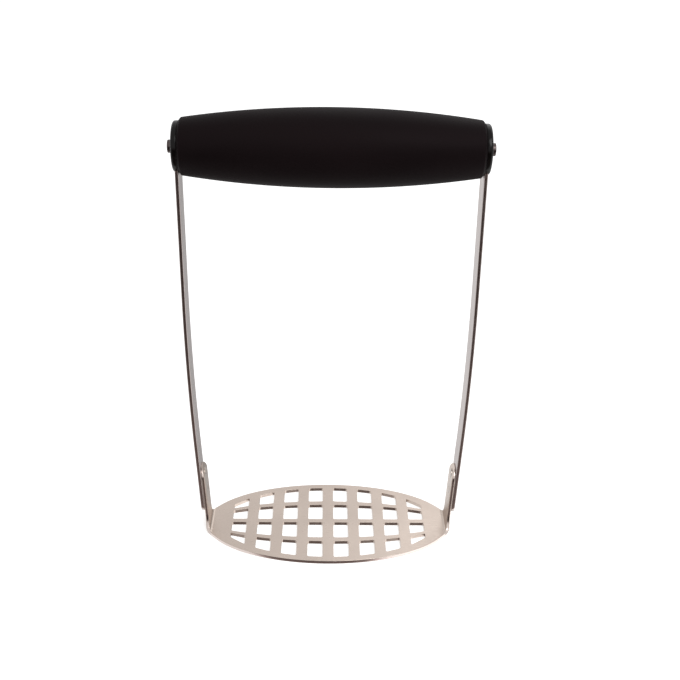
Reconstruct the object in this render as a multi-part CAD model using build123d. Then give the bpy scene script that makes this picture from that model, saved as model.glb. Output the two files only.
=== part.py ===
from build123d import *
import math
import os

# Potato masher with a horizontal barrel grip, two bowed straps and a pierced oval plate.
# Millimetres. The origin is the centre of the plate's underside, X runs along the handle,
# Y from front to back and Z up.

# Mashing plate, an oval with a tab turned up at each end
plate_length = 108.0
plate_width = 58.9
plate_sheet = 1.5
bend_radius = 1.0
tab_inset = 0.3
tab_height = 31.0
tab_root_fillet = 3.0

# Holes in the mashing plate
hole_columns = 8
hole_end_margin = 11.2
column_bar = 4.75
middle_bar = 2.56
inner_row_reach = 12.53
row_bar = 2.88
side_rim = 2.98
end_rim = 5.6
hole_corner = 0.5

# Straps
strap_width = 11.0
strap_sheet = 1.5
strap_foot = 8.3
strap_overrun = 6.0
bow_height = 77.3
bow_length = 74.0

# Flat that is left in the middle of the rounded ends of straps and tabs
end_flat = 1.0

# Rivets that hold the straps to the tabs
rivet_shank = 3.0
rivet_sink = 4.4
rivet_head = 5.0
rivet_head_face = 3.4
rivet_head_height = 0.7
rivet_drop = 4.2
rivet_pitch = 7.7

# Handle
handle_height = 171.9
grip_length = 116.0
grip_diameter = 30.44
grip_end_diameter = 21.9
grip_end_cone = 0.9
core_diameter = 15.0
core_flat = 2.0
cap_diameter = 19.6
cap_thickness = 2.2
cap_edge = 0.8
rod_diameter = 4.0
rod_head_diameter = 5.0
rod_head_height = 2.4
rod_head_crown = 0.6

# Clearance between pieces that fit into each other
fit = 0.05

# Places that follow from the sizes above
grip_end = grip_length / 2
tab_foot = plate_length / 2 - tab_inset
lean = math.atan2(grip_end - tab_foot, bow_height)
cap_face = grip_end + cap_thickness
strap_top = handle_height + strap_overrun
end_round = (strap_width - end_flat) / 2
sink_depth = (rivet_sink - rivet_shank) / 2
beyond = plate_length + grip_length + handle_height

# Plane of a right-hand tab's outer face: x front to back, y up the tab and z outwards
tab_plane = Plane(
    origin=(tab_foot, 0, 0),
    x_dir=(0, 1, 0),
    z_dir=(math.cos(lean), 0, -math.sin(lean)),
)
tab_length = tab_height / math.cos(lean)
rivet_rows = [tab_length - rivet_drop, tab_length - rivet_drop - rivet_pitch]

handle = Pos(0, 0, handle_height)


def on_slope(height):
    """Point of the tab's outer face, in X and Z, at a height above the underside."""
    return (tab_foot + height * math.tan(lean), height)


def mirrored(piece):
    """The left-hand copy of a right-hand piece."""
    return mirror(piece, about=Plane.YZ)


def axial_cylinder(diameter, start, end):
    """A cylinder round the X axis from one X to another."""
    length = end - start
    return Pos((start + end) / 2, 0, 0) * Rot(0, 90, 0) * Cylinder(diameter / 2, length)


def bent_blank():
    """Sheet with both ends turned up, wider and taller than the plate that is cut from it."""
    right_top = on_slope(2 * tab_height)
    right_foot = (tab_foot, 0)
    left_foot = (-tab_foot, 0)
    left_top = (-right_top[0], right_top[1])
    outside = FilletPolyline(
        left_top, left_foot, right_foot, right_top, radius=bend_radius + plate_sheet
    )
    section = make_face(offset(outside, plate_sheet, side=Side.LEFT))
    return extrude(Plane.XZ * section, plate_width, both=True)


def plan_outline():
    """Upright cutter of the oval with a strip for each tab, filleted where they meet."""
    oval = Ellipse(plate_length / 2, plate_width / 2)
    outline = extrude(oval + Rectangle(beyond, strap_width), beyond)
    roots = [
        edge
        for edge in outline.edges().filter_by(Axis.Z)
        if abs(edge.center().X) < plate_length / 2
    ]
    return fillet(roots, tab_root_fillet)


def tab_outline():
    """Level cutter along X: as wide as the plate up to the bend, then the round-topped tab."""
    bend_top = plate_sheet + bend_radius
    low = Rectangle(2 * plate_width, 2 * bend_top)
    outline = low + RectangleRounded(strap_width, 2 * tab_height, end_round)
    roots = [
        corner
        for corner in outline.vertices()
        if abs(corner.X) < plate_width and abs(corner.Y) < bend_top + fit
    ]
    return extrude(Plane.YZ * fillet(roots, tab_root_fillet), beyond, both=True)


def oval_reach(half_length, half_width, place):
    """Half width of an oval at a place along its length."""
    return half_width * math.sqrt(1 - (place / half_length) ** 2)


def row_edges(place):
    """Front and back Y of the two rows of holes in the back half, at a place along the plate."""
    half_length = plate_length / 2
    inner_front = middle_bar / 2
    inner_back = oval_reach(half_length, inner_row_reach, place)
    outer_front = oval_reach(half_length, inner_row_reach + row_bar, place)
    outer_back = oval_reach(half_length - end_rim, plate_width / 2 - side_rim, place)
    return (inner_front, inner_back), (outer_front, outer_back)


def hole_cutter():
    """Four-sided holes with eased corners, in straight columns and in rows that follow the oval."""
    field = plate_length - 2 * hole_end_margin
    hole_width = (field - (hole_columns - 1) * column_bar) / hole_columns
    holes = []
    for column in range(hole_columns):
        left = column * (hole_width + column_bar) - field / 2
        right = left + hole_width
        for left_edges, right_edges in zip(row_edges(left), row_edges(right)):
            hole = Polygon(
                (left, left_edges[0]),
                (right, right_edges[0]),
                (right, right_edges[1]),
                (left, left_edges[1]),
                align=None,
            )
            shortest = min(edge.length for edge in hole.edges())
            holes.append(chamfer(hole.vertices(), min(hole_corner, shortest / 3)))
    back_half = Sketch() + holes
    pattern = back_half + mirror(back_half, about=Plane.XZ)
    return extrude(Pos(0, 0, -plate_sheet) * pattern, 3 * plate_sheet)


def mashing_plate():
    plate = bent_blank() & plan_outline() & tab_outline()
    plate -= hole_cutter()
    for bore in rivet_bores():
        plate -= [bore, mirrored(bore)]
    return plate


def rivet_bores():
    """Countersunk bores through a right-hand tab and strap, each as one solid."""
    bores = []
    for row in rivet_rows:
        bore = Cylinder(rivet_shank / 2 + fit, 2 * (plate_sheet + strap_sheet))
        sink = Cone(rivet_sink / 2 + fit, rivet_shank / 2 + fit, sink_depth)
        bore += Pos(0, 0, sink_depth / 2 - plate_sheet) * sink
        bores.append(tab_plane * Pos(0, row, 0) * bore)
    return bores


def plate_rivets():
    """Two rivets, flush inside the tab and with a low head outside the strap."""
    rivets = []
    for row in rivet_rows:
        shank = Cylinder(rivet_shank / 2, plate_sheet + strap_sheet)
        rivet = Pos(0, 0, (strap_sheet - plate_sheet) / 2) * shank
        sink = Cone(rivet_sink / 2, rivet_shank / 2, sink_depth)
        rivet += Pos(0, 0, sink_depth / 2 - plate_sheet) * sink
        head = Cone(rivet_head / 2, rivet_head_face / 2, rivet_head_height)
        rivet += Pos(0, 0, strap_sheet + rivet_head_height / 2) * head
        rivets.append(tab_plane * Pos(0, row, 0) * rivet)
    return Compound(children=rivets)


def strap():
    """Right-hand strap: upright at the handle, bowed, then straight along the tab."""
    bow_radius = bow_length / 2 / math.tan(abs(lean) / 2)
    inside = FilletPolyline(
        on_slope(0), (grip_end, bow_height), (grip_end, beyond), radius=bow_radius
    )
    section = make_face(offset(inside, strap_sheet, side=Side.RIGHT))
    bar = extrude(Plane.XZ * section, strap_width, both=True)
    outline = RectangleRounded(strap_width, strap_top - strap_foot, end_round)
    bar &= extrude(Plane.YZ * Pos(0, (strap_top + strap_foot) / 2) * outline, beyond)
    bar -= rivet_bores()
    bar -= handle * axial_cylinder(rod_diameter + 2 * fit, 0, beyond)
    return bar


def grip_profile():
    """Half section of the soft sleeve, in axial X and radial Y."""
    end_radius = grip_end_diameter / 2
    barrel_end = grip_end - grip_end_cone
    barrel = ThreePointArc(
        (-barrel_end, end_radius), (0, grip_diameter / 2), (barrel_end, end_radius)
    )
    rest = Polyline(
        (barrel_end, end_radius),
        (grip_end, cap_diameter / 2),
        (grip_end, 0),
        (-grip_end, 0),
        (-grip_end, cap_diameter / 2),
        (-barrel_end, end_radius),
    )
    return make_face(barrel + rest)


def core_bar(gap):
    """Round bar with two flats that key the sleeve, grown by a gap all round."""
    round_bar = axial_cylinder(core_diameter + 2 * gap, -grip_end, grip_end)
    flat_to_flat = core_diameter - 2 * core_flat + 2 * gap
    return round_bar & Box(grip_length, core_diameter + 2 * gap, flat_to_flat)


def grip_sleeve():
    return handle * (revolve(grip_profile(), Axis.X) - core_bar(fit))


def handle_core():
    return handle * (core_bar(0) - axial_cylinder(rod_diameter + 2 * fit, -grip_end, grip_end))


def end_cap():
    """Right-hand cap: a disc with an eased rim and a channel for the strap, open at the bottom."""
    radius = cap_diameter / 2
    half_section = Polyline(
        (grip_end, 0),
        (grip_end, radius),
        (cap_face - cap_edge, radius),
        (cap_face, radius - cap_edge),
        (cap_face, 0),
        close=True,
    )
    cap = revolve(make_face(half_section), Axis.X)
    cap -= axial_cylinder(rod_diameter + 2 * fit, grip_end, cap_face)
    channel_top = strap_overrun + fit
    channel = Rectangle(
        strap_width + 2 * fit, channel_top + cap_diameter, align=(Align.CENTER, Align.MAX)
    )
    cutter = extrude(Plane.YZ * Pos(0, channel_top) * channel, grip_end + strap_sheet + fit)
    return handle * (cap - cutter)


def rod_head():
    """Right-hand head of the tie rod, with a spherical crown over a short upright side."""
    radius = rod_head_diameter / 2
    sphere = (radius**2 + rod_head_crown**2) / (2 * rod_head_crown)
    head_face = cap_face + rod_head_height
    blank = axial_cylinder(rod_head_diameter, cap_face, head_face)
    return blank & Pos(head_face - sphere, 0, 0) * Rot(0, 90, 0) * Sphere(sphere)


def tie_rod():
    """Long rivet through caps, straps and core, headed at both ends."""
    rod = axial_cylinder(rod_diameter, -cap_face, cap_face)
    head = rod_head()
    return handle * (rod + head + mirrored(head))


right_strap = strap()
right_cap = end_cap()
right_rivets = plate_rivets()
nodes = {
    "mashing_plate": mashing_plate(),
    "right_strap": right_strap,
    "left_strap": mirrored(right_strap),
    "right_plate_rivets": right_rivets,
    "left_plate_rivets": mirrored(right_rivets),
    "handle_core": handle_core(),
    "grip_sleeve": grip_sleeve(),
    "right_end_cap": right_cap,
    "left_end_cap": mirrored(right_cap),
    "tie_rod": tie_rod(),
}

os.makedirs("parts", exist_ok=True)
for name, piece in nodes.items():
    export_step(piece, f"parts/{name}.step")
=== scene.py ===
"""Potato masher: a pierced oval plate, two bowed straps, a barrel grip and their fasteners."""

import math

import bmesh
import bpy
from bpy.props import FloatProperty, FloatVectorProperty, IntProperty, PointerProperty
from mathutils import Matrix, Vector


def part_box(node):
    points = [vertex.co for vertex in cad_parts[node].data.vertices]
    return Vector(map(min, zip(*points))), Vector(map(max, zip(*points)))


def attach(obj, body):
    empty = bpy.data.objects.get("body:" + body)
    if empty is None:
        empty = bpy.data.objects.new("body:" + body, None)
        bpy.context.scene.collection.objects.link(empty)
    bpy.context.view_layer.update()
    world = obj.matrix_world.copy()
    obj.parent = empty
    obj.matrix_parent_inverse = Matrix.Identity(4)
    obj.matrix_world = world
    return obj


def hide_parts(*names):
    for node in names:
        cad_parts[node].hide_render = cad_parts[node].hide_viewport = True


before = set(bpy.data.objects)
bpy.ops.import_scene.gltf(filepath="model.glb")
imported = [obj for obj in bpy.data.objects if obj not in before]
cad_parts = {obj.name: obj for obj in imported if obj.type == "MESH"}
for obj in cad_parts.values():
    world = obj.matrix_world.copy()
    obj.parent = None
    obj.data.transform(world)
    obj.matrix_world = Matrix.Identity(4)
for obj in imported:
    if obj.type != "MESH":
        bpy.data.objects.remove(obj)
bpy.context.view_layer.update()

bl_info = {
    "name": "Potato Masher",
    "version": (1, 0, 0),
    "blender": (4, 5, 0),
    "location": "3D View > Sidebar > Masher",
    "description": "Builds a potato masher with a pierced plate, bowed straps and a barrel grip",
    "category": "Object",
}

_, plate_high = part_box("mashing_plate")
strap_low, strap_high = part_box("right_strap")
sleeve_low, sleeve_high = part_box("grip_sleeve")
cap_low, cap_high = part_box("right_end_cap")
rod_low, rod_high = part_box("tie_rod")

# How finely the meshes are divided
edge_steps = 5
flat_steps = 90
bend_steps = 20
tab_steps = 12
tab_end_steps = 16
hole_corner_steps = 5
strap_steps = 64
strap_end_steps = 14
dimple_steps = 4
rivet_head_steps = 8
rivet_sides = 40
grip_rings = 161
grip_sides = 144
cap_inner_steps = 3
cap_outer_steps = 10
cap_sides = 96
rod_head_steps = 12
rod_sides = 64

# Angle from which an edge stays sharp, and distances within which points become one
sharp_limit = math.radians(40)
rivet_merge = 1e-7
hole_merge = 1e-6

# Edges of the room's zones in reflections: their softness, the near floor's and the back's
zone_soft = math.radians(9)
near_floor = (math.radians(-36), math.radians(-24))
behind_turn = (math.radians(110), math.radians(150))

# Half size of the floor, and the point that the lamps face
floor_reach = 6.0
lamp_target = Vector((0.0, 0.0, 0.09))


# Sizes and colours that a user would change


def number(name, description, default, **options):
    """A property for a number."""
    return FloatProperty(name=name, description=description, default=default, **options)


def length(name, description, default):
    """A property for a length in metres."""
    return number(name, description, default, precision=5, unit="LENGTH", subtype="DISTANCE")


def angle(name, description, default):
    """A property for an angle, with its default in degrees."""
    return number(name, description, math.radians(default), unit="ROTATION", subtype="ANGLE")


def colour(name, description, default):
    """A property for a surface colour."""
    return FloatVectorProperty(
        name=name, description=description, default=default, size=3, min=0.0, max=1.0, subtype="COLOR"
    )


def group(kind, name, description):
    """A property that holds a group of settings."""
    return PointerProperty(type=kind, name=name, description=description)


class PlateSizes(bpy.types.PropertyGroup):
    """The oval plate and the tabs that are turned up at its ends."""

    oval_length: length("Length", "Length of the oval", 0.108)
    oval_width: length("Width", "Width of the oval", 2 * plate_high.y)
    sheet: length("Sheet", "Thickness of the plate's sheet", 0.0015)
    bend_radius: length("Bend radius", "Inside radius of the bend at each tab", 0.0013)
    tab_inset: length("Tab inset", "Distance of a tab's outer face from the oval's end", 0.0003)
    tab_height: length("Tab height", "Height of the tabs above the underside", plate_high.z)
    root_blend: length("Root blend", "Width over which a tab flares out into the oval", 0.008)
    edge_round: length("Edge round", "Radius of the oval's edges", 0.00018)
    tab_round: length("Tab round", "Radius of the tabs' edges", 0.0004)
    feather: length("Feather", "How much thinner a tab is at its top, on its inner face", 0.0011)
    feather_length: length("Feather length", "Distance over which a tab thins out to its top", 0.0045)


class HoleSizes(bpy.types.PropertyGroup):
    """The holes in the plate and the bars that they leave."""

    columns: IntProperty(name="Columns", description="Number of columns of holes", default=8, min=1)
    end_margin: length("End margin", "Solid length at each end of the oval", 0.0112)
    column_bar: length("Column bar", "Width of the bars between columns", 0.00475)
    middle_bar: length("Middle bar", "Width of the bar along the middle", 0.00256)
    inner_reach: length("Inner row reach", "Distance from the middle to the inner rows' far edge", 0.01253)
    row_bar: length("Row bar", "Width of the bars between inner and outer rows", 0.00288)
    side_rim: length("Side rim", "Rim left outside the outer rows", 0.00298)
    end_rim: length("End rim", "How far the outer rows' oval stays inside the plate's ends", 0.0056)
    corner: length("Corner", "Radius of the holes' corners", 0.0007)
    edge_round: length("Edge round", "Radius of the holes' edges", 0.0001)


class StrapSizes(bpy.types.PropertyGroup):
    """The two flat straps between the plate's tabs and the grip."""

    width: length("Width", "Width of a strap", 2 * strap_high.y)
    sheet: length("Sheet", "Thickness of a strap", strap_high.x - sleeve_high.x)
    foot: length("Foot", "Height of a strap's lower end", strap_low.z)
    top: length("Top", "Height of a strap's upper end", strap_high.z)
    bow_height: length("Bow height", "Height of the middle of the bow", 0.0773)
    bow_length: length("Bow length", "Length of the bowed stretch", 0.074)
    end_flat: length("End flat", "Flat left in the middle of a rounded end", 0.001)
    edge_round: length("Edge round", "Radius of a strap's edges", 0.0003)


class RivetSizes(bpy.types.PropertyGroup):
    """The rivets that hold the straps to the tabs."""

    flush: length("Flush end", "Diameter of the flush end inside a tab", 0.0044)
    head: length("Head", "Diameter of the head outside a strap", 0.005)
    head_height: length("Head height", "Height of the head", 0.0007)
    stand: length("Stand", "How far the flush end stands proud of the tab", 0.00008)
    dimple: length("Dimple", "Diameter of the dimple in the flush end", 0.0022)
    dimple_depth: length("Dimple depth", "Depth of the dimple in the flush end", 0.00035)
    drop: length("Drop", "Distance of the upper rivet from the tab's top", 0.0042)
    pitch: length("Pitch", "Distance between the two rivets", 0.0077)


class GripSizes(bpy.types.PropertyGroup):
    """The soft barrel grip."""

    length: length("Length", "Length between the straps", sleeve_high.x - sleeve_low.x)
    diameter: length("Diameter", "Diameter at the middle", sleeve_high.z - sleeve_low.z)
    end_diameter: length("End diameter", "Diameter where the barrel ends", 0.0219)
    end_cone: length("End cone", "Length of the short cone at each end", 0.0009)
    corner: length("Corner", "Softness of the corner between the barrel and a cone", 0.0004)
    height: length("Height", "Height of the handle's axis", (sleeve_high.z + sleeve_low.z) / 2)
    bore: length("Bore", "Diameter of the hole for the core", 0.0151)


class CapSizes(bpy.types.PropertyGroup):
    """The hard caps outside the straps."""

    diameter: length("Diameter", "Diameter of a cap", cap_high.z - cap_low.z)
    thickness: length("Thickness", "Thickness of a cap", cap_high.x - cap_low.x)
    inner_round: length("Inner round", "Radius of a cap's inner edge", 0.00025)
    edge_round: length("Edge round", "Radius of a cap's outer edge", 0.001)
    clearance: length("Clearance", "Gap between a cap and what it holds", 0.00005)


class RodSizes(bpy.types.PropertyGroup):
    """The tie rod with a head at each end of the handle."""

    diameter: length("Diameter", "Diameter of the rod", 0.004)
    head: length("Head", "Diameter of a head", rod_high.z - rod_low.z)
    head_height: length("Head height", "Height of a head", rod_high.x - cap_high.x)
    head_crown: length("Head crown", "Part of a head's height that is domed", 0.0003)
    edge_round: length("Edge round", "Radius of a head's edges", 0.0002)


class Finishes(bpy.types.PropertyGroup):
    """Colours of the surfaces."""

    plate_steel: colour("Plate steel", "Satin steel of the plate", (0.52, 0.442, 0.39))
    strap_steel: colour("Strap steel", "Brushed steel of the straps", (0.43, 0.38, 0.365))
    sheared_steel: colour("Sheared steel", "Steel of the sheared edges", (0.645, 0.56, 0.525))
    rivet_steel: colour("Rivet steel", "Turned steel of the rivets", (0.50, 0.45, 0.41))
    rod_steel: colour("Rod steel", "Dark steel of the tie rod", (0.085, 0.068, 0.066))
    rubber: colour("Rubber", "Soft black of the grip", (0.0048, 0.0028, 0.0031))
    rubber_shine: colour("Rubber shine", "Tint of the grip's faint shine", (1.0, 0.82, 0.88))
    plastic: colour("Plastic", "Polished black of the caps", (0.0035, 0.0026, 0.0026))
    floor: colour("Floor", "Pale floor", (0.86, 0.86, 0.86))


class StageSettings(bpy.types.PropertyGroup):
    """Camera and light."""

    camera_place: FloatVectorProperty(
        name="Camera place", description="Place of the camera", default=(-0.002951, -0.392375, 0.275715),
        size=3, precision=5, unit="LENGTH", subtype="TRANSLATION",
    )
    camera_pitch: angle("Pitch", "How far the camera looks down", 25.181)
    camera_yaw: angle("Yaw", "How far the camera turns to the right", 1.039)
    camera_roll: angle("Roll", "How far the camera tilts to the left", 0.871)
    lens: number("Lens", "Focal length on a 36 mm sensor", 55.588, unit="CAMERA")
    key_power: number("Key", "Power of the key lamp", 8.0, unit="POWER")
    rear_power: number("Rear", "Power of the rear lamp", 2.15, unit="POWER")
    ambient: number("Ambient", "Strength of the light from all round", 0.62)
    floor_lift: number("Floor lift", "How far the floor is lifted to white", 0.5)
    dark_level: number("Dark level", "Brightness of the dark end of the room in reflections", 0.05)
    dark_tone: colour("Dark tone", "Tint of the dark end of the room in reflections", (1.0, 0.78, 0.74))
    near_level: number("Near level", "Brightness of the floor in front in reflections", 0.2)
    side_level: number("Side level", "Brightness of the floor beside the object in reflections", 1.5)
    side_slope: number("Side slope", "How much brighter the floor beside gets to the right", 0.4)
    side_top: angle("Side top", "Elevation at which the floor beside has dimmed half way", -18.0)
    back_level: number("Back level", "Brightness of the floor behind the object in reflections", 0.82)
    back_slope: number("Back slope", "How much darker the floor behind gets to the right", 0.8)
    back_top: angle("Back top", "Elevation up to which the back level holds behind the object", 14.0)
    dark_turn: angle("Dark turn", "How far the dark end of the room lies to the right", -6.5)
    dark_reach: angle("Dark reach", "How far the dark end of the room reaches to each side", 36.0)
    dark_top: angle("Dark top", "Elevation up to which the end of the room is dark", 3.0)


class MasherSettings(bpy.types.PropertyGroup):
    """All settings of the masher."""

    plate: group(PlateSizes, "Plate", "Sizes of the plate")
    holes: group(HoleSizes, "Holes", "Sizes of the holes")
    strap: group(StrapSizes, "Straps", "Sizes of the straps")
    rivet: group(RivetSizes, "Rivets", "Sizes of the rivets")
    grip: group(GripSizes, "Grip", "Sizes of the grip")
    cap: group(CapSizes, "Caps", "Sizes of the caps")
    rod: group(RodSizes, "Rod", "Sizes of the tie rod")
    finish: group(Finishes, "Finishes", "Colours of the surfaces")
    stage: group(StageSettings, "Stage", "Camera and light")


# Nodes


def fill(tree, node, sockets):
    """Fills a node's inputs from other sockets or with plain values."""
    for key, value in sockets.items():
        if isinstance(value, bpy.types.NodeSocket):
            tree.links.new(value, node.inputs[key])
        elif isinstance(value, list):
            for source in value:
                tree.links.new(source, node.inputs[key])
        else:
            node.inputs[key].default_value = value


def add(tree, kind, sockets=None, **options):
    """Adds a node, sets its options and fills its inputs."""
    node = tree.nodes.new(kind)
    for option, value in options.items():
        setattr(node, option, value)
    fill(tree, node, sockets or {})
    return node


def shape(tree, kind, sockets=None, **options):
    """Adds a geometry node and gives its first output."""
    return add(tree, f"GeometryNode{kind}", sockets, **options).outputs[0]


def calc(tree, operation, *values):
    """Adds a Math node and gives its result."""
    return add(tree, "ShaderNodeMath", dict(enumerate(values)), operation=operation).outputs[0]


def vector(tree, x=0.0, y=0.0, z=0.0):
    """Adds a Combine XYZ node and gives its result."""
    return add(tree, "ShaderNodeCombineXYZ", {"X": x, "Y": y, "Z": z}).outputs[0]


def parted(tree, place):
    """Adds a Separate XYZ node and gives its outputs."""
    return add(tree, "ShaderNodeSeparateXYZ", {"Vector": place}).outputs


def ranged(tree, value, start, end, low, high, kind="LINEAR"):
    """Adds a Map Range node, which carries a value from one range to another, and gives its result."""
    limits = {"From Min": start, "From Max": end, "To Min": low, "To Max": high}
    return add(tree, "ShaderNodeMapRange", {"Value": value, **limits}, interpolation_type=kind).outputs[0]


def in_row(tree, piece, count, start, step):
    """Copies of a piece in a row, from a start and by a step."""
    places = shape(tree, "MeshLine", {"Count": count, "Start Location": start, "Offset": step})
    return shape(tree, "InstanceOnPoints", {"Points": places, "Instance": piece})


def tube(tree, line, sides, radius, scale=1.0):
    """A closed tube along a line, with a radius that a scale changes along the way."""
    ring = shape(tree, "CurvePrimitiveCircle", {"Resolution": sides, "Radius": radius})
    return shape(tree, "CurveToMesh", {
        "Curve": line, "Profile Curve": ring, "Scale": scale, "Fill Caps": True
    })


def cut(tree, body, cutters):
    """A body without what cutters take from it."""
    meshes = {"Mesh 1": body, "Mesh 2": cutters}
    return shape(tree, "MeshBoolean", meshes, operation="DIFFERENCE", solver="EXACT")


def start_tree(name, **inputs):
    """A geometry node tree with named inputs of each kind and one geometry out, and the inputs' sockets."""
    tree = bpy.data.node_groups.new(name, "GeometryNodeTree")
    for kind, labels in inputs.items():
        for label in labels:
            tree.interface.new_socket(name=label, in_out="INPUT", socket_type=f"NodeSocket{kind}")
    tree.interface.new_socket(name="Geometry", in_out="OUTPUT", socket_type="NodeSocketGeometry")
    return tree, tree.nodes.new("NodeGroupInput").outputs


def end_tree(tree, geometry, *coats):
    """Ends a tree in realized instances that take materials, each on all faces or on a selection."""
    dressed = shape(tree, "RealizeInstances", {"Geometry": geometry})
    for coat in coats:
        dressed = shape(tree, "SetMaterial", {"Geometry": dressed, **coat})
    add(tree, "NodeGroupOutput", {"Geometry": dressed})


def apply_tree(piece, tree, values):
    """Puts a tree on a piece and sets the tree's inputs by name."""
    modifier = piece.modifiers.new(tree.name, "NODES")
    modifier.node_group = tree
    for item in tree.interface.items_tree:
        if item.in_out == "INPUT" and item.name in values:
            modifier[item.identifier] = values[item.name]


# Meshes


def new_piece(name, mesh):
    """An object at the origin that holds a mesh."""
    piece = bpy.data.objects.new(name, mesh)
    bpy.context.scene.collection.objects.link(piece)
    return piece


def settle(piece):
    """Turns a piece's modifiers into a plain mesh."""
    bpy.context.view_layer.update()
    graph = bpy.context.evaluated_depsgraph_get()
    mesh = bpy.data.meshes.new_from_object(piece.evaluated_get(graph), depsgraph=graph)
    piece.modifiers.clear()
    blank = piece.data
    piece.data = mesh
    bpy.data.meshes.remove(blank)
    if not mesh.polygons:
        raise RuntimeError(f"{piece.name} came out empty")


def round_edges(piece, radius, segments):
    """Rounds a piece's sharp edges, with the first material on the rounds."""
    bevel = piece.modifiers.new("Edge round", "BEVEL")
    bevel.width = radius
    bevel.segments = segments
    bevel.limit_method = "ANGLE"
    bevel.angle_limit = math.radians(50)
    bevel.material = 0
    bevel.harden_normals = True


def mesh_from(name, points, faces, smooth=True, merge=0.0):
    """A mesh of points and faces, with its faces outwards and points within a distance merged."""
    mesh = bpy.data.meshes.new(name)
    mesh.from_pydata(points, [], faces)
    work = bmesh.new()
    work.from_mesh(mesh)
    if merge:
        bmesh.ops.remove_doubles(work, verts=work.verts, dist=merge)
    bmesh.ops.recalc_face_normals(work, faces=work.faces)
    for face in work.faces:
        face.smooth = smooth
    work.to_mesh(mesh)
    work.free()
    return mesh


def lathe(outline, sides, closed):
    """Points and faces of an outline of (place, radius) points turned about the Z axis."""
    points = []
    for place, radius in outline:
        for side in range(sides):
            turn = 2 * math.pi * side / sides
            points.append((radius * math.cos(turn), radius * math.sin(turn), place))
    faces = []
    rings = len(outline)
    for ring in range(rings if closed else rings - 1):
        here = ring * sides
        there = (ring + 1) % rings * sides
        for side in range(sides):
            beside = (side + 1) % sides
            faces.append((here + side, here + beside, there + beside, there + side))
    return points, faces


def turned(name, outline, sides, height):
    """A closed ring turned about the handle's axis from an outline of (place, radius) points."""
    points, faces = lathe(outline, sides, closed=True)
    mesh = mesh_from(name, [(place, across, height + up) for across, up, place in points], faces)
    mesh.set_sharp_from_angle(angle=sharp_limit)
    return mesh


def arc(centre, radius, start, end, steps):
    """Points of an arc in an outline, from one angle to another in degrees."""
    points = []
    for step in range(steps + 1):
        turn = math.radians(start + (end - start) * step / steps)
        points.append((centre[0] + radius * math.cos(turn), centre[1] + radius * math.sin(turn)))
    return points


def crown(top, radius, height, end, steps):
    """Outline of a spherical crown, from its rim to an angle in degrees beside its top."""
    sphere = (radius**2 + height**2) / (2 * height)
    sweep = math.degrees(math.asin(radius / sphere))
    return arc((top - sphere, 0.0), sphere, sweep, end, steps)


def finish_piece(piece, slot, *nodes):
    """Lets a piece stand for CAD nodes and move with the part."""
    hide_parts(*nodes)
    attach(piece, "root")


# Lines that several pieces share


def tab_foot(masher):
    """Distance from the middle to a tab's outer face, at the underside."""
    return masher.plate.oval_length / 2 - masher.plate.tab_inset


def lean(masher):
    """Angle by which tabs and straps lean outwards below the bow."""
    return math.atan2(masher.grip.length / 2 - tab_foot(masher), masher.strap.bow_height)


def end_arc(masher, steps):
    """Outline of a rounded end: distance from the end, half width, inward direction across and along."""
    flat = masher.strap.end_flat / 2
    radius = masher.strap.width / 2 - flat
    outline = []
    for step in range(steps + 1):
        turn = math.pi / 2 * step / steps
        outline.append((
            radius * (1 - math.cos(turn)), flat + radius * math.sin(turn), math.sin(turn), math.cos(turn)
        ))
    return outline


def edge_profile(radius, sheet):
    """Section of a sheet's rounded edge as (inset, depth) points, from its inner to its outer face."""
    run_in = 1.3 * radius
    inner = [(run_in, 0.0)]
    for step in range(edge_steps + 1):
        turn = math.pi / 2 * step / edge_steps
        inner.append((radius * (1 - math.sin(turn)), radius * (1 - math.cos(turn))))
    return inner + [(inset, sheet - depth) for inset, depth in reversed(inner)]


def sheet_mesh(name, stations, first=0, last=0):
    """A sheet from the points of its front edge at each station, from the inner to the outer face.

    The back edge mirrors the front one. From the first to the last station, each face is one polygon.
    """
    count = len(stations[0])
    core = count // 2 - 1
    row = 2 * count
    points = []
    for edge in stations:
        points += edge + [(x, -y, z) for x, y, z in edge]
    faces = []
    sheared = []
    for station in range(len(stations) - 1):
        here = row * station
        there = here + row
        for side in (0, count):
            for step in range(count - 1):
                at = side + step
                faces.append((here + at, here + at + 1, there + at + 1, there + at))
                sheared.append(step == core)
        if not first <= station < last:
            for at in (0, count - 1):
                faces.append((here + at, there + at, there + count + at, here + count + at))
                sheared.append(False)
    for end in (0, row * (len(stations) - 1)):
        for step in range(count - 1):
            at = end + step
            faces.append((at, at + 1, at + count + 1, at + count))
            sheared.append(step == core)
    if last > first:
        for at in (0, count - 1):
            front = [row * station + at for station in range(first, last + 1)]
            back = [row * station + count + at for station in range(last, first - 1, -1)]
            faces.append(tuple(front + back))
            sheared.append(False)
    mesh = mesh_from(name, points, faces)
    mesh.attributes.new("sheared", "BOOLEAN", "FACE").data.foreach_set("value", sheared)
    return mesh


# Finishes


def start_material(name):
    """A material with its shader."""
    material = bpy.data.materials.new(name)
    material.use_nodes = True
    return material, material.node_tree, material.node_tree.nodes["Principled BSDF"]


def grain(tree, frequency, detail):
    """Noise over the piece, with a frequency along each axis."""
    place = add(tree, "ShaderNodeTexCoord").outputs["Object"]
    scaled = add(tree, "ShaderNodeMapping", {"Vector": place, "Scale": frequency}).outputs[0]
    noise = add(tree, "ShaderNodeTexNoise", {"Vector": scaled, "Scale": 1.0, "Detail": detail})
    return noise.outputs["Fac"]


def spread(tree, value, low, high):
    """Spreads the middle of a noise between two values."""
    return ranged(tree, value, start=0.3, end=0.7, low=low, high=high)


def mixed(tree, share, first, second):
    """Mixes two opaque colours by a share."""
    mix = add(tree, "ShaderNodeMix", {0: share, 6: (*first, 1.0), 7: (*second, 1.0)}, data_type="RGBA")
    return mix.outputs[2]


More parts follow.
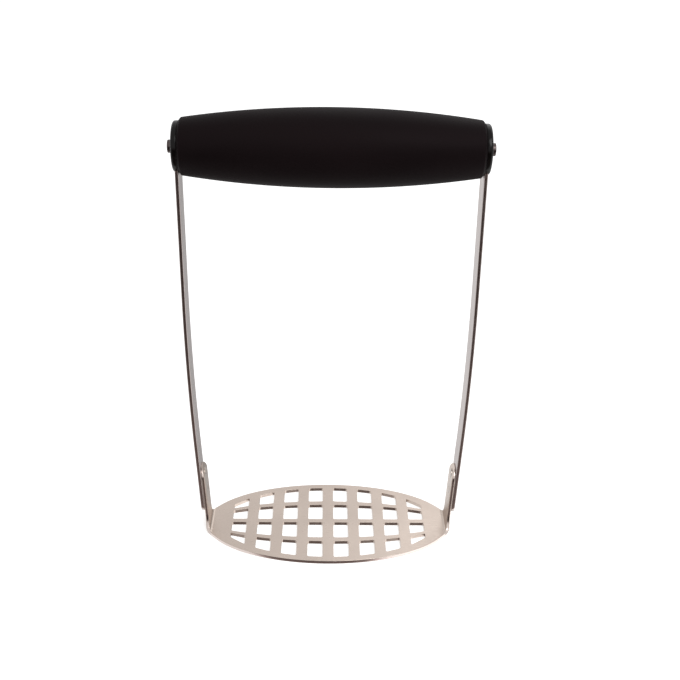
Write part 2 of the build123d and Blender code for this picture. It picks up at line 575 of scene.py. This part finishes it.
def tints(tree, value, tone, change):
    """Varies a colour about its own tone by a share either way."""
    darker = [part * (1 - change) for part in tone]
    lighter = [min(part * (1 + change), 1.0) for part in tone]
    return mixed(tree, spread(tree, value, 0.0, 1.0), darker, lighter)


def relief(tree, value, depth, strength):
    """A bumped normal from a height."""
    bump = add(tree, "ShaderNodeBump", {"Height": value, "Distance": depth, "Strength": strength})
    return bump.outputs["Normal"]


def steel(name, tone, brush, gloss, bump=0.25):
    """Steel with brush lines, cloudy tone and a range of roughness."""
    material, tree, shader = start_material(name)
    lines = grain(tree, brush, detail=4.0)
    clouds = grain(tree, frequency=(38.0, 38.0, 38.0), detail=2.0)
    fill(tree, shader, {
        "Metallic": 1.0,
        "Base Color": tints(tree, clouds, tone, change=0.05),
        "Roughness": spread(tree, lines, *gloss),
        "Normal": relief(tree, lines, depth=0.00002, strength=bump),
    })
    return material


def rubber(name, tone, shine):
    """Soft black rubber with a fine moulded grain and slightly shiny worn patches."""
    material, tree, shader = start_material(name)
    grains = grain(tree, frequency=(2600.0, 2600.0, 2600.0), detail=2.0)
    patches = grain(tree, frequency=(22.0, 60.0, 60.0), detail=3.0)
    fill(tree, shader, {
        "Specular IOR Level": 0.06,
        "Specular Tint": (*shine, 1.0),
        "Base Color": tints(tree, patches, tone, change=0.22),
        "Roughness": spread(tree, patches, low=0.52, high=0.66),
        "Normal": relief(tree, grains, depth=0.00006, strength=0.35),
    })
    return material


def plastic(name, tone, gloss):
    """Hard black plastic with faint flow marks."""
    material, tree, shader = start_material(name)
    marks = grain(tree, frequency=(160.0, 420.0, 420.0), detail=3.0)
    fill(tree, shader, {
        "Specular IOR Level": 0.16,
        "Base Color": tints(tree, marks, tone, change=0.18),
        "Roughness": spread(tree, marks, *gloss),
        "Normal": relief(tree, marks, depth=0.00002, strength=0.2),
    })
    return material


def sheared_edge(masher):
    """The sheared edge that plate and straps share, made once."""
    name = "sheared_edge"
    made = bpy.data.materials.get(name)
    tone = masher.finish.sheared_steel
    return made or steel(name, tone, brush=(900.0, 900.0, 240.0), gloss=(0.16, 0.26))


# Mashing plate

# Lengths of the holes that the plate's node tree takes, each named like its property
hole_lengths = (
    "End Margin", "Column Bar", "Middle Bar", "Inner Reach", "Row Bar", "Side Rim", "End Rim", "Corner"
)


def oval_reach(tree, half_length, half_width, place):
    """Half width of an oval at a place along it, as nodes."""
    ratio = calc(tree, "DIVIDE", place, half_length)
    left = calc(tree, "SUBTRACT", 1.0, calc(tree, "MULTIPLY", ratio, ratio))
    root = calc(tree, "SQRT", calc(tree, "MAXIMUM", left, 0.0))
    return calc(tree, "MULTIPLY", half_width, root)


def hole_row_tree():
    """Node group: a row of hole cutters between two ovals, on one side of the middle."""
    tree, given = start_tree("hole_row", Int=["Columns"], Float=[
        "Hole Width", "Hole Height", "Pitch", "Corner", "Depth", "Side",
        "Inner Half Length", "Inner Half Width", "Outer Half Length", "Outer Half Width",
    ])
    # One cutter, which reaches one sheet under and one sheet over the plate
    outline = shape(tree, "CurvePrimitiveQuadrilateral", {
        "Width": given["Hole Width"], "Height": given["Hole Height"]
    })
    eased = shape(tree, "FilletCurve", {
        "Curve": outline, "Radius": given["Corner"], "Count": hole_corner_steps, "Limit Radius": True
    }, mode="POLY")
    face = shape(tree, "FillCurve", {"Curve": eased}, mode="NGONS")
    low = shape(tree, "Transform", {
        "Geometry": face, "Translation": vector(tree, z=calc(tree, "MULTIPLY", given["Depth"], -1.0))
    })
    walls = shape(tree, "ExtrudeMesh", {
        "Mesh": low, "Offset Scale": calc(tree, "MULTIPLY", given["Depth"], 3.0), "Individual": False
    })
    bottom = shape(tree, "FlipFaces", {"Mesh": low})
    open_cutter = shape(tree, "JoinGeometry", {"Geometry": [walls, bottom]})
    cutter = shape(tree, "MergeByDistance", {"Geometry": open_cutter, "Distance": hole_merge})

    # A cutter in each column
    gaps = calc(tree, "SUBTRACT", given["Columns"], 1.0)
    start = calc(tree, "MULTIPLY", calc(tree, "MULTIPLY", gaps, given["Pitch"]), -0.5)
    step = vector(tree, x=given["Pitch"])
    row = in_row(tree, cutter, given["Columns"], vector(tree, x=start), step)
    row = shape(tree, "RealizeInstances", {"Geometry": row})

    # The cutters stretched between the two ovals
    spot = parted(tree, shape(tree, "InputPosition"))
    inner = oval_reach(tree, given["Inner Half Length"], given["Inner Half Width"], spot["X"])
    outer = oval_reach(tree, given["Outer Half Length"], given["Outer Half Width"], spot["X"])
    share = calc(tree, "DIVIDE", calc(tree, "MULTIPLY", spot["Y"], given["Side"]), given["Hole Height"])
    share = calc(tree, "ADD", share, 0.5)
    reach = calc(tree, "MULTIPLY_ADD", calc(tree, "SUBTRACT", outer, inner), share, inner)
    moved = vector(tree, x=spot["X"], y=calc(tree, "MULTIPLY", reach, given["Side"]), z=spot["Z"])
    row = shape(tree, "SetPosition", {"Geometry": row, "Position": moved})
    add(tree, "NodeGroupOutput", {"Geometry": row})
    return tree


def pierced_plate_tree():
    """Node tree: cuts four rows of holes that follow the oval into a bent blank."""
    tree, given = start_tree(
        "pierced_plate",
        Geometry=["Geometry"],
        Int=["Columns"],
        Float=["Plate Length", "Plate Width", "Sheet", *hole_lengths],
        Material=["Steel", "Sheared Edge"],
    )
    half_length = calc(tree, "DIVIDE", given["Plate Length"], 2.0)
    half_width = calc(tree, "DIVIDE", given["Plate Width"], 2.0)
    field = calc(tree, "MULTIPLY_ADD", given["End Margin"], -2.0, given["Plate Length"])
    pitch = calc(tree, "DIVIDE", calc(tree, "ADD", field, given["Column Bar"]), given["Columns"])
    hole_width = calc(tree, "SUBTRACT", pitch, given["Column Bar"])
    # The middle bar's edge is an oval so long that it is straight
    straight = calc(tree, "MULTIPLY", half_length, 1000.0)
    bands = (
        (straight, calc(tree, "DIVIDE", given["Middle Bar"], 2.0), half_length, given["Inner Reach"]),
        (
            half_length,
            calc(tree, "ADD", given["Inner Reach"], given["Row Bar"]),
            calc(tree, "SUBTRACT", half_length, given["End Rim"]),
            calc(tree, "SUBTRACT", half_width, given["Side Rim"]),
        ),
    )
    row_tree = hole_row_tree()
    rows = []
    for inner_length, inner_width, outer_length, outer_width in bands:
        for side in (-1.0, 1.0):
            rows.append(shape(tree, "Group", {
                "Columns": given["Columns"],
                "Hole Width": hole_width,
                "Hole Height": calc(tree, "SUBTRACT", outer_width, inner_width),
                "Pitch": pitch,
                "Corner": given["Corner"],
                "Depth": given["Sheet"],
                "Side": side,
                "Inner Half Length": inner_length,
                "Inner Half Width": inner_width,
                "Outer Half Length": outer_length,
                "Outer Half Width": outer_width,
            }, node_tree=row_tree))
    pierced = cut(tree, given["Geometry"], rows)
    edges = shape(tree, "InputNamedAttribute", {"Name": "sheared"}, data_type="BOOLEAN")
    edge_coat = {"Selection": edges, "Material": given["Sheared Edge"]}
    end_tree(tree, pierced, {"Material": given["Steel"]}, edge_coat)
    return tree


def smooth_larger(first, second, width):
    """The larger of two lengths, with a rounded change from one to the other."""
    share = min(max(0.5 + (first - second) / (2 * width), 0.0), 1.0)
    return second + (first - second) * share + width * share * (1 - share)


def sheet_half_width(masher, bend_start, travel):
    """Half width of the unbent sheet at a distance along it: the oval, then a flare, then the tab."""
    plate = masher.plate
    half = plate.oval_length / 2
    place = min(travel, bend_start)
    oval = plate.oval_width / 2 * math.sqrt(1 - (place / half) ** 2)
    fall = (plate.oval_width / 2) ** 2 * place / (half**2 * oval)
    return smooth_larger(oval - fall * (travel - place), masher.strap.width / 2, plate.root_blend)


def sheet_bend(masher):
    """Where the bend starts along the sheet, its angle and the radius of its middle layer."""
    plate = masher.plate
    turn = math.pi / 2 - lean(masher)
    start = tab_foot(masher) - (plate.bend_radius + plate.sheet) * math.tan(turn / 2)
    return start, turn, plate.bend_radius + plate.sheet / 2


def sheet_point(masher, travel, depth):
    """Point of the bent sheet, in X and Z, at a distance along it and a depth under its inner face."""
    plate = masher.plate
    start, turn, middle = sheet_bend(masher)
    if travel <= start:
        return travel, plate.sheet - depth
    bend = min((travel - start) / middle, turn)
    rest = travel - start - bend * middle
    radius = plate.bend_radius + depth
    return (
        start + radius * math.sin(bend) + rest * math.cos(bend),
        plate.bend_radius + plate.sheet - radius * math.cos(bend) + rest * math.sin(bend),
    )


def plate_rows(masher):
    """Right half's outline: distance along the sheet, half width, inward direction across and along."""
    plate = masher.plate
    start, turn, middle = sheet_bend(masher)
    bend_end = start + turn * middle
    half = plate.oval_length / 2
    bend_top = sheet_point(masher, bend_end, 0.0)[1]
    tab_end = bend_end + (plate.tab_height - bend_top) / math.sin(turn)
    ends = end_arc(masher, tab_end_steps)
    straight = tab_end - ends[-1][0] - bend_end
    flat_turn = math.asin(start / half)
    travels = [half * math.sin(flat_turn * step / flat_steps) for step in range(flat_steps + 1)]
    travels += [start + turn * middle * step / bend_steps for step in range(1, bend_steps + 1)]
    travels += [bend_end + straight * step / tab_steps for step in range(1, tab_steps)]

    def half_width(travel):
        return sheet_half_width(masher, start, travel)

    small = 1e-5
    rows = []
    for travel in travels:
        slope = (half_width(travel + small) - half_width(travel)) / small
        size = math.hypot(1.0, slope)
        rows.append((travel, half_width(travel), 1.0 / size, slope / size))
    rows += [(tab_end - drop, reach, across, -along) for drop, reach, across, along in reversed(ends)]
    return rows


def plate_blank(masher):
    """The bent sheet with its outline and tabs, before it is pierced."""
    plate = masher.plate
    start, turn, middle = sheet_bend(masher)
    rows = plate_rows(masher)
    tab_end = rows[-1][0]
    feather_power = 1.6
    right = []
    for travel, reach, across, along in rows:
        share = min(max((travel - start) / (turn * middle), 0.0), 1.0)
        radius = plate.edge_round + (plate.tab_round - plate.edge_round) * share
        edge = []
        for inset, depth in edge_profile(radius, plate.sheet):
            along_sheet = travel + inset * along
            left_over = min((tab_end - along_sheet) / plate.feather_length, 1.0)
            thinned = plate.feather * (1 - left_over) ** feather_power
            depth_there = thinned + depth * (1 - thinned / plate.sheet)
            place, height = sheet_point(masher, along_sheet, depth_there)
            edge.append((place, inset * across - reach, height))
        right.append(edge)
    left = [[(-x, y, z) for x, y, z in edge] for edge in reversed(right[1:])]
    middle_station = len(left)
    return sheet_mesh(
        "mashing_plate", left + right, first=middle_station - flat_steps, last=middle_station + flat_steps
    )


class MASHER_OT_mashing_plate(bpy.types.Operator):
    """Builds the oval plate with its tabs and pierces it"""

    bl_idname = "masher.mashing_plate"
    bl_label = "Mashing Plate"

    def execute(self, context):
        masher = context.scene.masher
        plate = masher.plate
        holes = masher.holes
        tone = masher.finish.plate_steel
        piece = new_piece("pierced_plate", plate_blank(masher))
        satin = steel("plate_steel", tone, brush=(260.0, 1400.0, 1400.0), gloss=(0.26, 0.4), bump=0.08)
        lengths = {label: getattr(holes, label.lower().replace(" ", "_")) for label in hole_lengths}
        apply_tree(piece, pierced_plate_tree(), {
            "Columns": holes.columns,
            "Plate Length": plate.oval_length,
            "Plate Width": plate.oval_width,
            "Sheet": plate.sheet,
            **lengths,
            "Steel": satin,
            "Sheared Edge": sheared_edge(masher),
        })
        round_edges(piece, holes.edge_round, segments=2)
        settle(piece)
        finish_piece(piece, "plate_steel", "mashing_plate")
        return {"FINISHED"}


# Straps


def strap_inside(masher, height):
    """Distance of a strap's inner face from the middle at a height."""
    strap = masher.strap
    tilt = lean(masher)
    reach = strap.bow_length / 2
    bow_top = strap.bow_height + reach
    bow_foot = strap.bow_height - reach * math.cos(tilt)
    grip_end = masher.grip.length / 2
    if height >= bow_top:
        return grip_end
    if height <= bow_foot:
        return tab_foot(masher) + height * math.tan(tilt)
    radius = reach / math.tan(tilt / 2)
    return grip_end - radius + math.sqrt(radius**2 - (bow_top - height) ** 2)


def strap_place(masher, height, depth):
    """Distance of a point of a strap from the middle, at a height and a depth outside its inner face."""
    inner = strap_inside(masher, height)
    step = 0.001
    return inner + depth * math.hypot(strap_inside(masher, height + step) - inner, step) / step


def strap_mesh(name, masher, side):
    """A bowed bar with rounded ends and edges, on the right for side 1 and on the left for side -1."""
    strap = masher.strap
    ends = end_arc(masher, strap_end_steps)
    low = strap.foot + ends[-1][0]
    high = strap.top - ends[-1][0]
    rows = [(strap.foot + drop, reach, across, along) for drop, reach, across, along in ends]
    for step in range(1, strap_steps):
        rows.append((low + (high - low) * step / strap_steps, strap.width / 2, 1.0, 0.0))
    rows += [(strap.top - drop, reach, across, -along) for drop, reach, across, along in reversed(ends)]
    stations = []
    for height, reach, across, along in rows:
        edge = []
        for inset, depth in edge_profile(strap.edge_round, strap.sheet):
            level = height + inset * along
            edge.append((side * strap_place(masher, level, depth), inset * across - reach, level))
        stations.append(edge)
    mesh = sheet_mesh(name, stations)
    sheared = [int(item.value) for item in mesh.attributes["sheared"].data]
    mesh.polygons.foreach_set("material_index", sheared)
    return mesh


class MASHER_OT_straps(bpy.types.Operator):
    """Builds the two bowed straps"""

    bl_idname = "masher.straps"
    bl_label = "Straps"

    def execute(self, context):
        masher = context.scene.masher
        tone = masher.finish.strap_steel
        faces = steel("strap_steel", tone, brush=(1500.0, 1500.0, 40.0), gloss=(0.22, 0.38))
        for node, side in (("right_strap", 1), ("left_strap", -1)):
            mesh = strap_mesh(f"{node}_bar", masher, side)
            mesh.materials.append(faces)
            mesh.materials.append(sheared_edge(masher))
            finish_piece(new_piece(f"{node}_bar", mesh), "strap_steel", node)
        return {"FINISHED"}


# Rivets


def rivet_mesh(masher):
    """One rivet on a tab's outer face, pointing along Z, with a flush end and a low head."""
    rivet = masher.rivet
    inside = -masher.plate.sheet - rivet.stand
    face = masher.strap.sheet
    top = face + rivet.head_height
    outline = []
    for step in range(dimple_steps + 1):
        share = step / dimple_steps
        outline.append((inside + rivet.dimple_depth * (1 - share**2), share * rivet.dimple / 2))
    outline += [(inside, rivet.flush / 2 - rivet.stand), (inside + rivet.stand, rivet.flush / 2)]
    outline += [(face, rivet.flush / 2), (face, rivet.head / 2)]
    outline += crown(top, rivet.head / 2, rivet.head_height, 0.0, rivet_head_steps)[1:-1]
    outline += [(top, 0.0)]
    mesh = mesh_from("rivet", *lathe(outline, rivet_sides, closed=False), merge=rivet_merge)
    mesh.set_sharp_from_angle(angle=sharp_limit)
    return mesh


def rivet_pattern_tree():
    """Node tree: sets a rivet in a row up each tab, on both sides."""
    tree, given = start_tree(
        "rivet_pattern",
        Geometry=["Geometry"],
        Float=["First", "Pitch", "Tab Foot"],
        Rotation=["Tab Turn"],
        Material=["Steel"],
    )
    rivets_per_tab = 2
    step = vector(tree, y=calc(tree, "MULTIPLY", given["Pitch"], -1.0))
    row = in_row(tree, given["Geometry"], rivets_per_tab, vector(tree, y=given["First"]), step)
    right = shape(tree, "Transform", {
        "Geometry": row, "Translation": vector(tree, x=given["Tab Foot"]), "Rotation": given["Tab Turn"]
    })
    left = shape(tree, "Transform", {"Geometry": right, "Rotation": (0.0, 0.0, math.pi)})
    both = shape(tree, "JoinGeometry", {"Geometry": [right, left]})
    end_tree(tree, both, {"Material": given["Steel"]})
    return tree


class MASHER_OT_plate_rivets(bpy.types.Operator):
    """Sets two rivets through each tab and strap"""

    bl_idname = "masher.plate_rivets"
    bl_label = "Plate Rivets"

    def execute(self, context):
        masher = context.scene.masher
        tone = masher.finish.rivet_steel
        tilt = lean(masher)
        axes = Matrix((
            (0.0, math.sin(tilt), math.cos(tilt)),
            (1.0, 0.0, 0.0),
            (0.0, math.cos(tilt), -math.sin(tilt)),
        ))
        piece = new_piece("plate_rivets", rivet_mesh(masher))
        apply_tree(piece, rivet_pattern_tree(), {
            "First": masher.plate.tab_height / math.cos(tilt) - masher.rivet.drop,
            "Pitch": masher.rivet.pitch,
            "Tab Foot": tab_foot(masher),
            "Tab Turn": axes.to_euler(),
            "Steel": steel("rivet_steel", tone, brush=(700.0, 700.0, 700.0), gloss=(0.24, 0.36)),
        })
        settle(piece)
        finish_piece(piece, "rivet_steel", "right_plate_rivets", "left_plate_rivets")
        return {"FINISHED"}


# Handle


def barrel_tree():
    """Node tree: a tube along the handle whose radius follows an arc, with short cones and a bore."""
    tree, given = start_tree(
        "barrel_grip",
        Float=[
            "Length", "Middle Radius", "Arc Radius", "Cone Radius", "Cone Slope", "Corner", "Bore", "Height"
        ],
        Int=["Sides"],
        Material=["Rubber"],
    )
    # The handle's axis, with its points closer together towards the ends
    half = calc(tree, "DIVIDE", given["Length"], 2.0)
    line = shape(tree, "CurvePrimitiveLine", {"Start": (-1.0, 0.0, 0.0), "End": (1.0, 0.0, 0.0)})
    line = shape(tree, "ResampleCurve", {"Curve": line, "Count": grip_rings})
    along = parted(tree, shape(tree, "InputPosition"))["X"]
    place = calc(tree, "MULTIPLY", half, calc(tree, "SINE", calc(tree, "MULTIPLY", along, math.pi / 2)))
    line = shape(tree, "SetPosition", {"Geometry": line, "Position": vector(tree, x=place)})

    # The barrel's radius along that axis
    arc_square = calc(tree, "MULTIPLY", given["Arc Radius"], given["Arc Radius"])
    across = calc(tree, "SQRT", calc(tree, "SUBTRACT", arc_square, calc(tree, "MULTIPLY", along, along)))
    barrel = calc(tree, "ADD", calc(tree, "SUBTRACT", given["Middle Radius"], given["Arc Radius"]), across)
    to_end = calc(tree, "SUBTRACT", half, calc(tree, "ABSOLUTE", along))
    cone = calc(tree, "MULTIPLY_ADD", to_end, given["Cone Slope"], given["Cone Radius"])
    radius = calc(tree, "SMOOTH_MIN", barrel, cone, given["Corner"])
    body = tube(tree, line, given["Sides"], 1.0, scale=radius)

    # The bore, whose cutter reaches past both ends
    reach = calc(tree, "MULTIPLY", half, 1.1)
    axis = shape(tree, "CurvePrimitiveLine", {
        "Start": vector(tree, x=calc(tree, "MULTIPLY", reach, -1.0)), "End": vector(tree, x=reach)
    })
    bore = tube(tree, axis, given["Sides"], calc(tree, "DIVIDE", given["Bore"], 2.0))
    sleeve = cut(tree, body, [bore])
    raised = shape(tree, "Transform", {"Geometry": sleeve, "Translation": vector(tree, z=given["Height"])})
    end_tree(tree, raised, {"Material": given["Rubber"]})
    return tree


class MASHER_OT_grip(bpy.types.Operator):
    """Builds the soft barrel grip"""

    bl_idname = "masher.grip"
    bl_label = "Grip"

    def execute(self, context):
        masher = context.scene.masher
        grip = masher.grip
        end_drop = (grip.diameter - grip.end_diameter) / 2
        barrel_end = grip.length / 2 - grip.end_cone
        cone_drop = (grip.end_diameter - masher.cap.diameter) / 2
        piece = new_piece("soft_grip", bpy.data.meshes.new("soft_grip"))
        apply_tree(piece, barrel_tree(), {
            "Length": grip.length,
            "Middle Radius": grip.diameter / 2,
            "Arc Radius": (barrel_end**2 + end_drop**2) / (2 * end_drop),
            "Cone Radius": masher.cap.diameter / 2,
            "Cone Slope": cone_drop / grip.end_cone,
            "Corner": grip.corner,
            "Bore": grip.bore,
            "Height": grip.height,
            "Sides": grip_sides,
            "Rubber": rubber("grip_rubber", masher.finish.rubber, masher.finish.rubber_shine),
        })
        settle(piece)
        piece.data.shade_smooth()
        piece.data.set_sharp_from_angle(angle=sharp_limit)
        finish_piece(piece, "grip_rubber", "grip_sleeve")
        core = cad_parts["handle_core"].data
        core.materials.clear()
        core.materials.append(plastic("core_plastic", masher.finish.plastic, gloss=(0.45, 0.6)))
        return {"FINISHED"}


def cap_outline(masher, side):
    """Half section of a cap, from its inner face to its rounded outer face."""
    cap = masher.cap
    inner = masher.grip.length / 2
    outer = inner + cap.thickness
    radius = cap.diameter / 2
    bore = masher.rod.diameter / 2 + cap.clearance
    small = cap.inner_round
    large = cap.edge_round
    points = [(inner, bore)]
    points += arc((inner + small, radius - small), small, 180, 90, cap_inner_steps)
    points += arc((outer - large, radius - large), large, 90, 0, cap_outer_steps)
    points += [(outer, bore)]
    return [(side * place, reach) for place, reach in points]


def channel_cutter(masher, side):
    """Block that cuts the strap's channel into a cap."""
    strap = masher.strap
    gap = masher.cap.clearance
    inner = masher.grip.length / 2
    reach = strap.width / 2 + gap
    low = masher.grip.height - masher.cap.diameter
    places = (side * (inner - strap.sheet), side * (inner + strap.sheet + gap))
    points = [(x, y, z) for x in places for y in (-reach, reach) for z in (low, strap.top + gap)]
    faces = [(0, 1, 3, 2), (4, 6, 7, 5), (0, 4, 5, 1), (2, 3, 7, 6), (0, 2, 6, 4), (1, 5, 7, 3)]
    return new_piece("channel_cutter", mesh_from("channel_cutter", points, faces, smooth=False))


class MASHER_OT_end_caps(bpy.types.Operator):
    """Builds the two hard caps with their strap channels"""

    bl_idname = "masher.end_caps"
    bl_label = "End Caps"

    def execute(self, context):
        masher = context.scene.masher
        polished = plastic("cap_plastic", masher.finish.plastic, gloss=(0.1, 0.2))
        for node, side in (("right_end_cap", 1), ("left_end_cap", -1)):
            mesh = turned(f"{node}_disc", cap_outline(masher, side), cap_sides, masher.grip.height)
            mesh.materials.append(polished)
            piece = new_piece(f"{node}_disc", mesh)
            cutter = channel_cutter(masher, side)
            channel = piece.modifiers.new("Channel", "BOOLEAN")
            channel.operation = "DIFFERENCE"
            channel.solver = "EXACT"
            channel.object = cutter
            settle(piece)
            bpy.data.meshes.remove(cutter.data)
            finish_piece(piece, "cap_plastic", node)
        return {"FINISHED"}


class MASHER_OT_tie_rod(bpy.types.Operator):
    """Builds the tie rod with its two domed heads"""

    bl_idname = "masher.tie_rod"
    bl_label = "Tie Rod"

    def execute(self, context):
        masher = context.scene.masher
        rod = masher.rod
        tone = masher.finish.rod_steel
        face = masher.grip.length / 2 + masher.cap.thickness
        # Degrees beside its top at which a dome stops, so that the turned ring stays open along the axis
        tip = 0.6
        dome = crown(face + rod.head_height, rod.head / 2, rod.head_crown, tip, rod_head_steps)
        half = [(0.0, rod.diameter / 2), (face, rod.diameter / 2), (face, rod.head / 2)] + dome
        outline = [(-place, reach) for place, reach in reversed(half[1:])] + half
        mesh = turned("tie_rod_bar", outline, rod_sides, masher.grip.height)
        mesh.materials.append(steel("rod_steel", tone, brush=(700.0, 500.0, 500.0), gloss=(0.28, 0.4)))
        piece = new_piece("tie_rod_bar", mesh)
        round_edges(piece, rod.edge_round, segments=3)
        settle(piece)
        finish_piece(piece, "rivet_steel", "tie_rod")
        return {"FINISHED"}


# Stage


def seen_rays(path):
    """1 for rays of the camera, of mirrors and through glass, otherwise 0."""
    tree = path["Is Camera Ray"].id_data
    seen = calc(tree, "MAXIMUM", path["Is Camera Ray"], path["Is Glossy Ray"])
    return calc(tree, "MAXIMUM", seen, path["Is Transmission Ray"])


def floor_material(tone, lift):
    """Pale floor that keeps shadows and is lifted to white where it is seen."""
    material, tree, shader = start_material("pale_floor")
    path = add(tree, "ShaderNodeLightPath").outputs
    fill(tree, shader, {
        "Base Color": (*tone, 1.0),
        "Roughness": 0.9,
        "Specular IOR Level": 0.0,
        "Emission Color": (1.0, 1.0, 1.0, 1.0),
        "Emission Strength": calc(tree, "MULTIPLY", seen_rays(path), lift),
    })
    return material


def soft_step(tree, value, start, end):
    """0 before a start and 1 after an end, with a smooth change between them."""
    return ranged(tree, value, start, end, low=0.0, high=1.0, kind="SMOOTHSTEP")


def zone_edge(tree, value, middle):
    """The soft edge of a zone of the room, half way at a middle value."""
    return soft_step(tree, value, middle - zone_soft, middle + zone_soft)


def blend(tree, share, first, second):
    """Goes from a first value to a second as a share goes from 0 to 1."""
    return calc(tree, "MULTIPLY_ADD", share, calc(tree, "SUBTRACT", second, first), first)


def studio_world(stage):
    """White surroundings whose lower half, which only reflections see, is darkest in front."""
    world = bpy.data.worlds.new("studio")
    world.use_nodes = True
    tree = world.node_tree
    path = add(tree, "ShaderNodeLightPath").outputs
    look = parted(tree, add(tree, "ShaderNodeTexCoord").outputs["Generated"])
    turn = calc(tree, "ARCTAN2", look["X"], calc(tree, "MULTIPLY", look["Y"], -1.0))
    from_dark = calc(tree, "ABSOLUTE", calc(tree, "SUBTRACT", turn, stage.dark_turn))
    rise = calc(tree, "ARCSINE", look["Z"])
    far = soft_step(tree, rise, *near_floor)
    beside = zone_edge(tree, from_dark, stage.dark_reach)
    dimmed = zone_edge(tree, rise, stage.side_top)
    behind = soft_step(tree, calc(tree, "ABSOLUTE", turn), *behind_turn)
    top = blend(tree, behind, stage.dark_top, stage.back_top)
    above = zone_edge(tree, calc(tree, "SUBTRACT", rise, top), 0.0)
    front = blend(tree, far, stage.near_level, stage.dark_level)
    side = calc(tree, "MULTIPLY_ADD", look["X"], stage.side_slope, stage.side_level)
    back = calc(tree, "MULTIPLY_ADD", look["X"], -stage.back_slope, stage.back_level)
    level = blend(tree, beside, front, blend(tree, dimmed, side, 1.0))
    level = blend(tree, behind, level, back)
    level = blend(tree, above, level, 1.0)
    white = calc(tree, "MULTIPLY_ADD", seen_rays(path), 1.0 - stage.ambient, stage.ambient)
    bright = calc(tree, "MAXIMUM", calc(tree, "MAXIMUM", beside, behind), above)
    shade = calc(tree, "MULTIPLY", path["Is Glossy Ray"], calc(tree, "SUBTRACT", 1.0, bright))
    fill(tree, tree.nodes["Background"], {
        "Color": mixed(tree, shade, (1.0, 1.0, 1.0), stage.dark_tone),
        "Strength": blend(tree, path["Is Glossy Ray"], white, level),
    })
    return world


def area_lamp(name, place, size, power):
    """A square soft lamp that faces the masher."""
    lamp = bpy.data.lights.new(name, "AREA")
    lamp.shape = "SQUARE"
    lamp.size = size
    lamp.energy = power
    holder = bpy.data.objects.new(name, lamp)
    holder.location = place
    holder.rotation_euler = (lamp_target - Vector(place)).to_track_quat("-Z", "Y").to_euler()
    bpy.context.scene.collection.objects.link(holder)


def camera_view(stage):
    """Place and directions of the camera as one matrix."""
    ahead = Vector((
        math.sin(stage.camera_yaw) * math.cos(stage.camera_pitch),
        math.cos(stage.camera_yaw) * math.cos(stage.camera_pitch),
        -math.sin(stage.camera_pitch),
    ))
    level = ahead.cross((0.0, 0.0, 1.0)).normalized()
    right = Matrix.Rotation(-stage.camera_roll, 3, ahead) @ level
    up = right.cross(ahead)
    turn = Matrix((right, up, -ahead)).transposed()
    return Matrix.Translation(stage.camera_place) @ turn.to_4x4()


class MASHER_OT_stage(bpy.types.Operator):
    """Sets up floor, light and camera"""

    bl_idname = "masher.stage"
    bl_label = "Stage"

    def execute(self, context):
        scene = context.scene
        stage = scene.masher.stage
        corners = [(x * floor_reach, y * floor_reach, 0.0) for x, y in ((-1, -1), (1, -1), (1, 1), (-1, 1))]
        floor_mesh = bpy.data.meshes.new("floor")
        floor_mesh.from_pydata(corners, [], [(0, 1, 2, 3)])
        floor_mesh.materials.append(floor_material(scene.masher.finish.floor, stage.floor_lift))
        floor = new_piece("floor", floor_mesh)
        floor.visible_glossy = False
        scene.world = studio_world(stage)

        area_lamp("key_lamp", place=(0.45, -0.85, 1.1), size=0.7, power=stage.key_power)
        area_lamp("rear_lamp", place=(0.49, 0.75, 0.89), size=1.0, power=stage.rear_power)

        lens = bpy.data.cameras.new("camera")
        lens.lens = stage.lens
        lens.sensor_width = 36.0
        lens.clip_start = 0.01
        camera = bpy.data.objects.new("camera", lens)
        camera.matrix_world = camera_view(stage)
        scene.collection.objects.link(camera)
        scene.camera = camera
        scene.view_settings.view_transform = "Standard"
        return {"FINISHED"}


# Add-on


class MASHER_PT_panel(bpy.types.Panel):
    """Lists the masher's sizes and the steps that build it"""

    bl_idname = "MASHER_PT_panel"
    bl_label = "Potato Masher"
    bl_space_type = "VIEW_3D"
    bl_region_type = "UI"
    bl_category = "Masher"

    def draw(self, context):
        masher = context.scene.masher
        for part in MasherSettings.__annotations__:
            box = self.layout.box()
            box.label(text=masher.bl_rna.properties[part].name)
            settings = getattr(masher, part)
            for name in type(settings).__annotations__:
                box.prop(settings, name)
        for step in steps:
            self.layout.operator(step.bl_idname)


steps = (
    MASHER_OT_mashing_plate,
    MASHER_OT_straps,
    MASHER_OT_plate_rivets,
    MASHER_OT_grip,
    MASHER_OT_end_caps,
    MASHER_OT_tie_rod,
    MASHER_OT_stage,
)
classes = (
    PlateSizes,
    HoleSizes,
    StrapSizes,
    RivetSizes,
    GripSizes,
    CapSizes,
    RodSizes,
    Finishes,
    StageSettings,
    MasherSettings,
    *steps,
    MASHER_PT_panel,
)


def register():
    for kind in classes:
        bpy.utils.register_class(kind)
    bpy.types.Scene.masher = group(MasherSettings, "Masher", "The masher's settings")


def unregister():
    del bpy.types.Scene.masher
    for kind in reversed(classes):
        bpy.utils.unregister_class(kind)


def main():
    register()
    bpy.ops.masher.mashing_plate()
    bpy.ops.masher.straps()
    bpy.ops.masher.plate_rivets()
    bpy.ops.masher.grip()
    bpy.ops.masher.end_caps()
    bpy.ops.masher.tie_rod()
    bpy.ops.masher.stage()


if __name__ == "__main__":
    main()
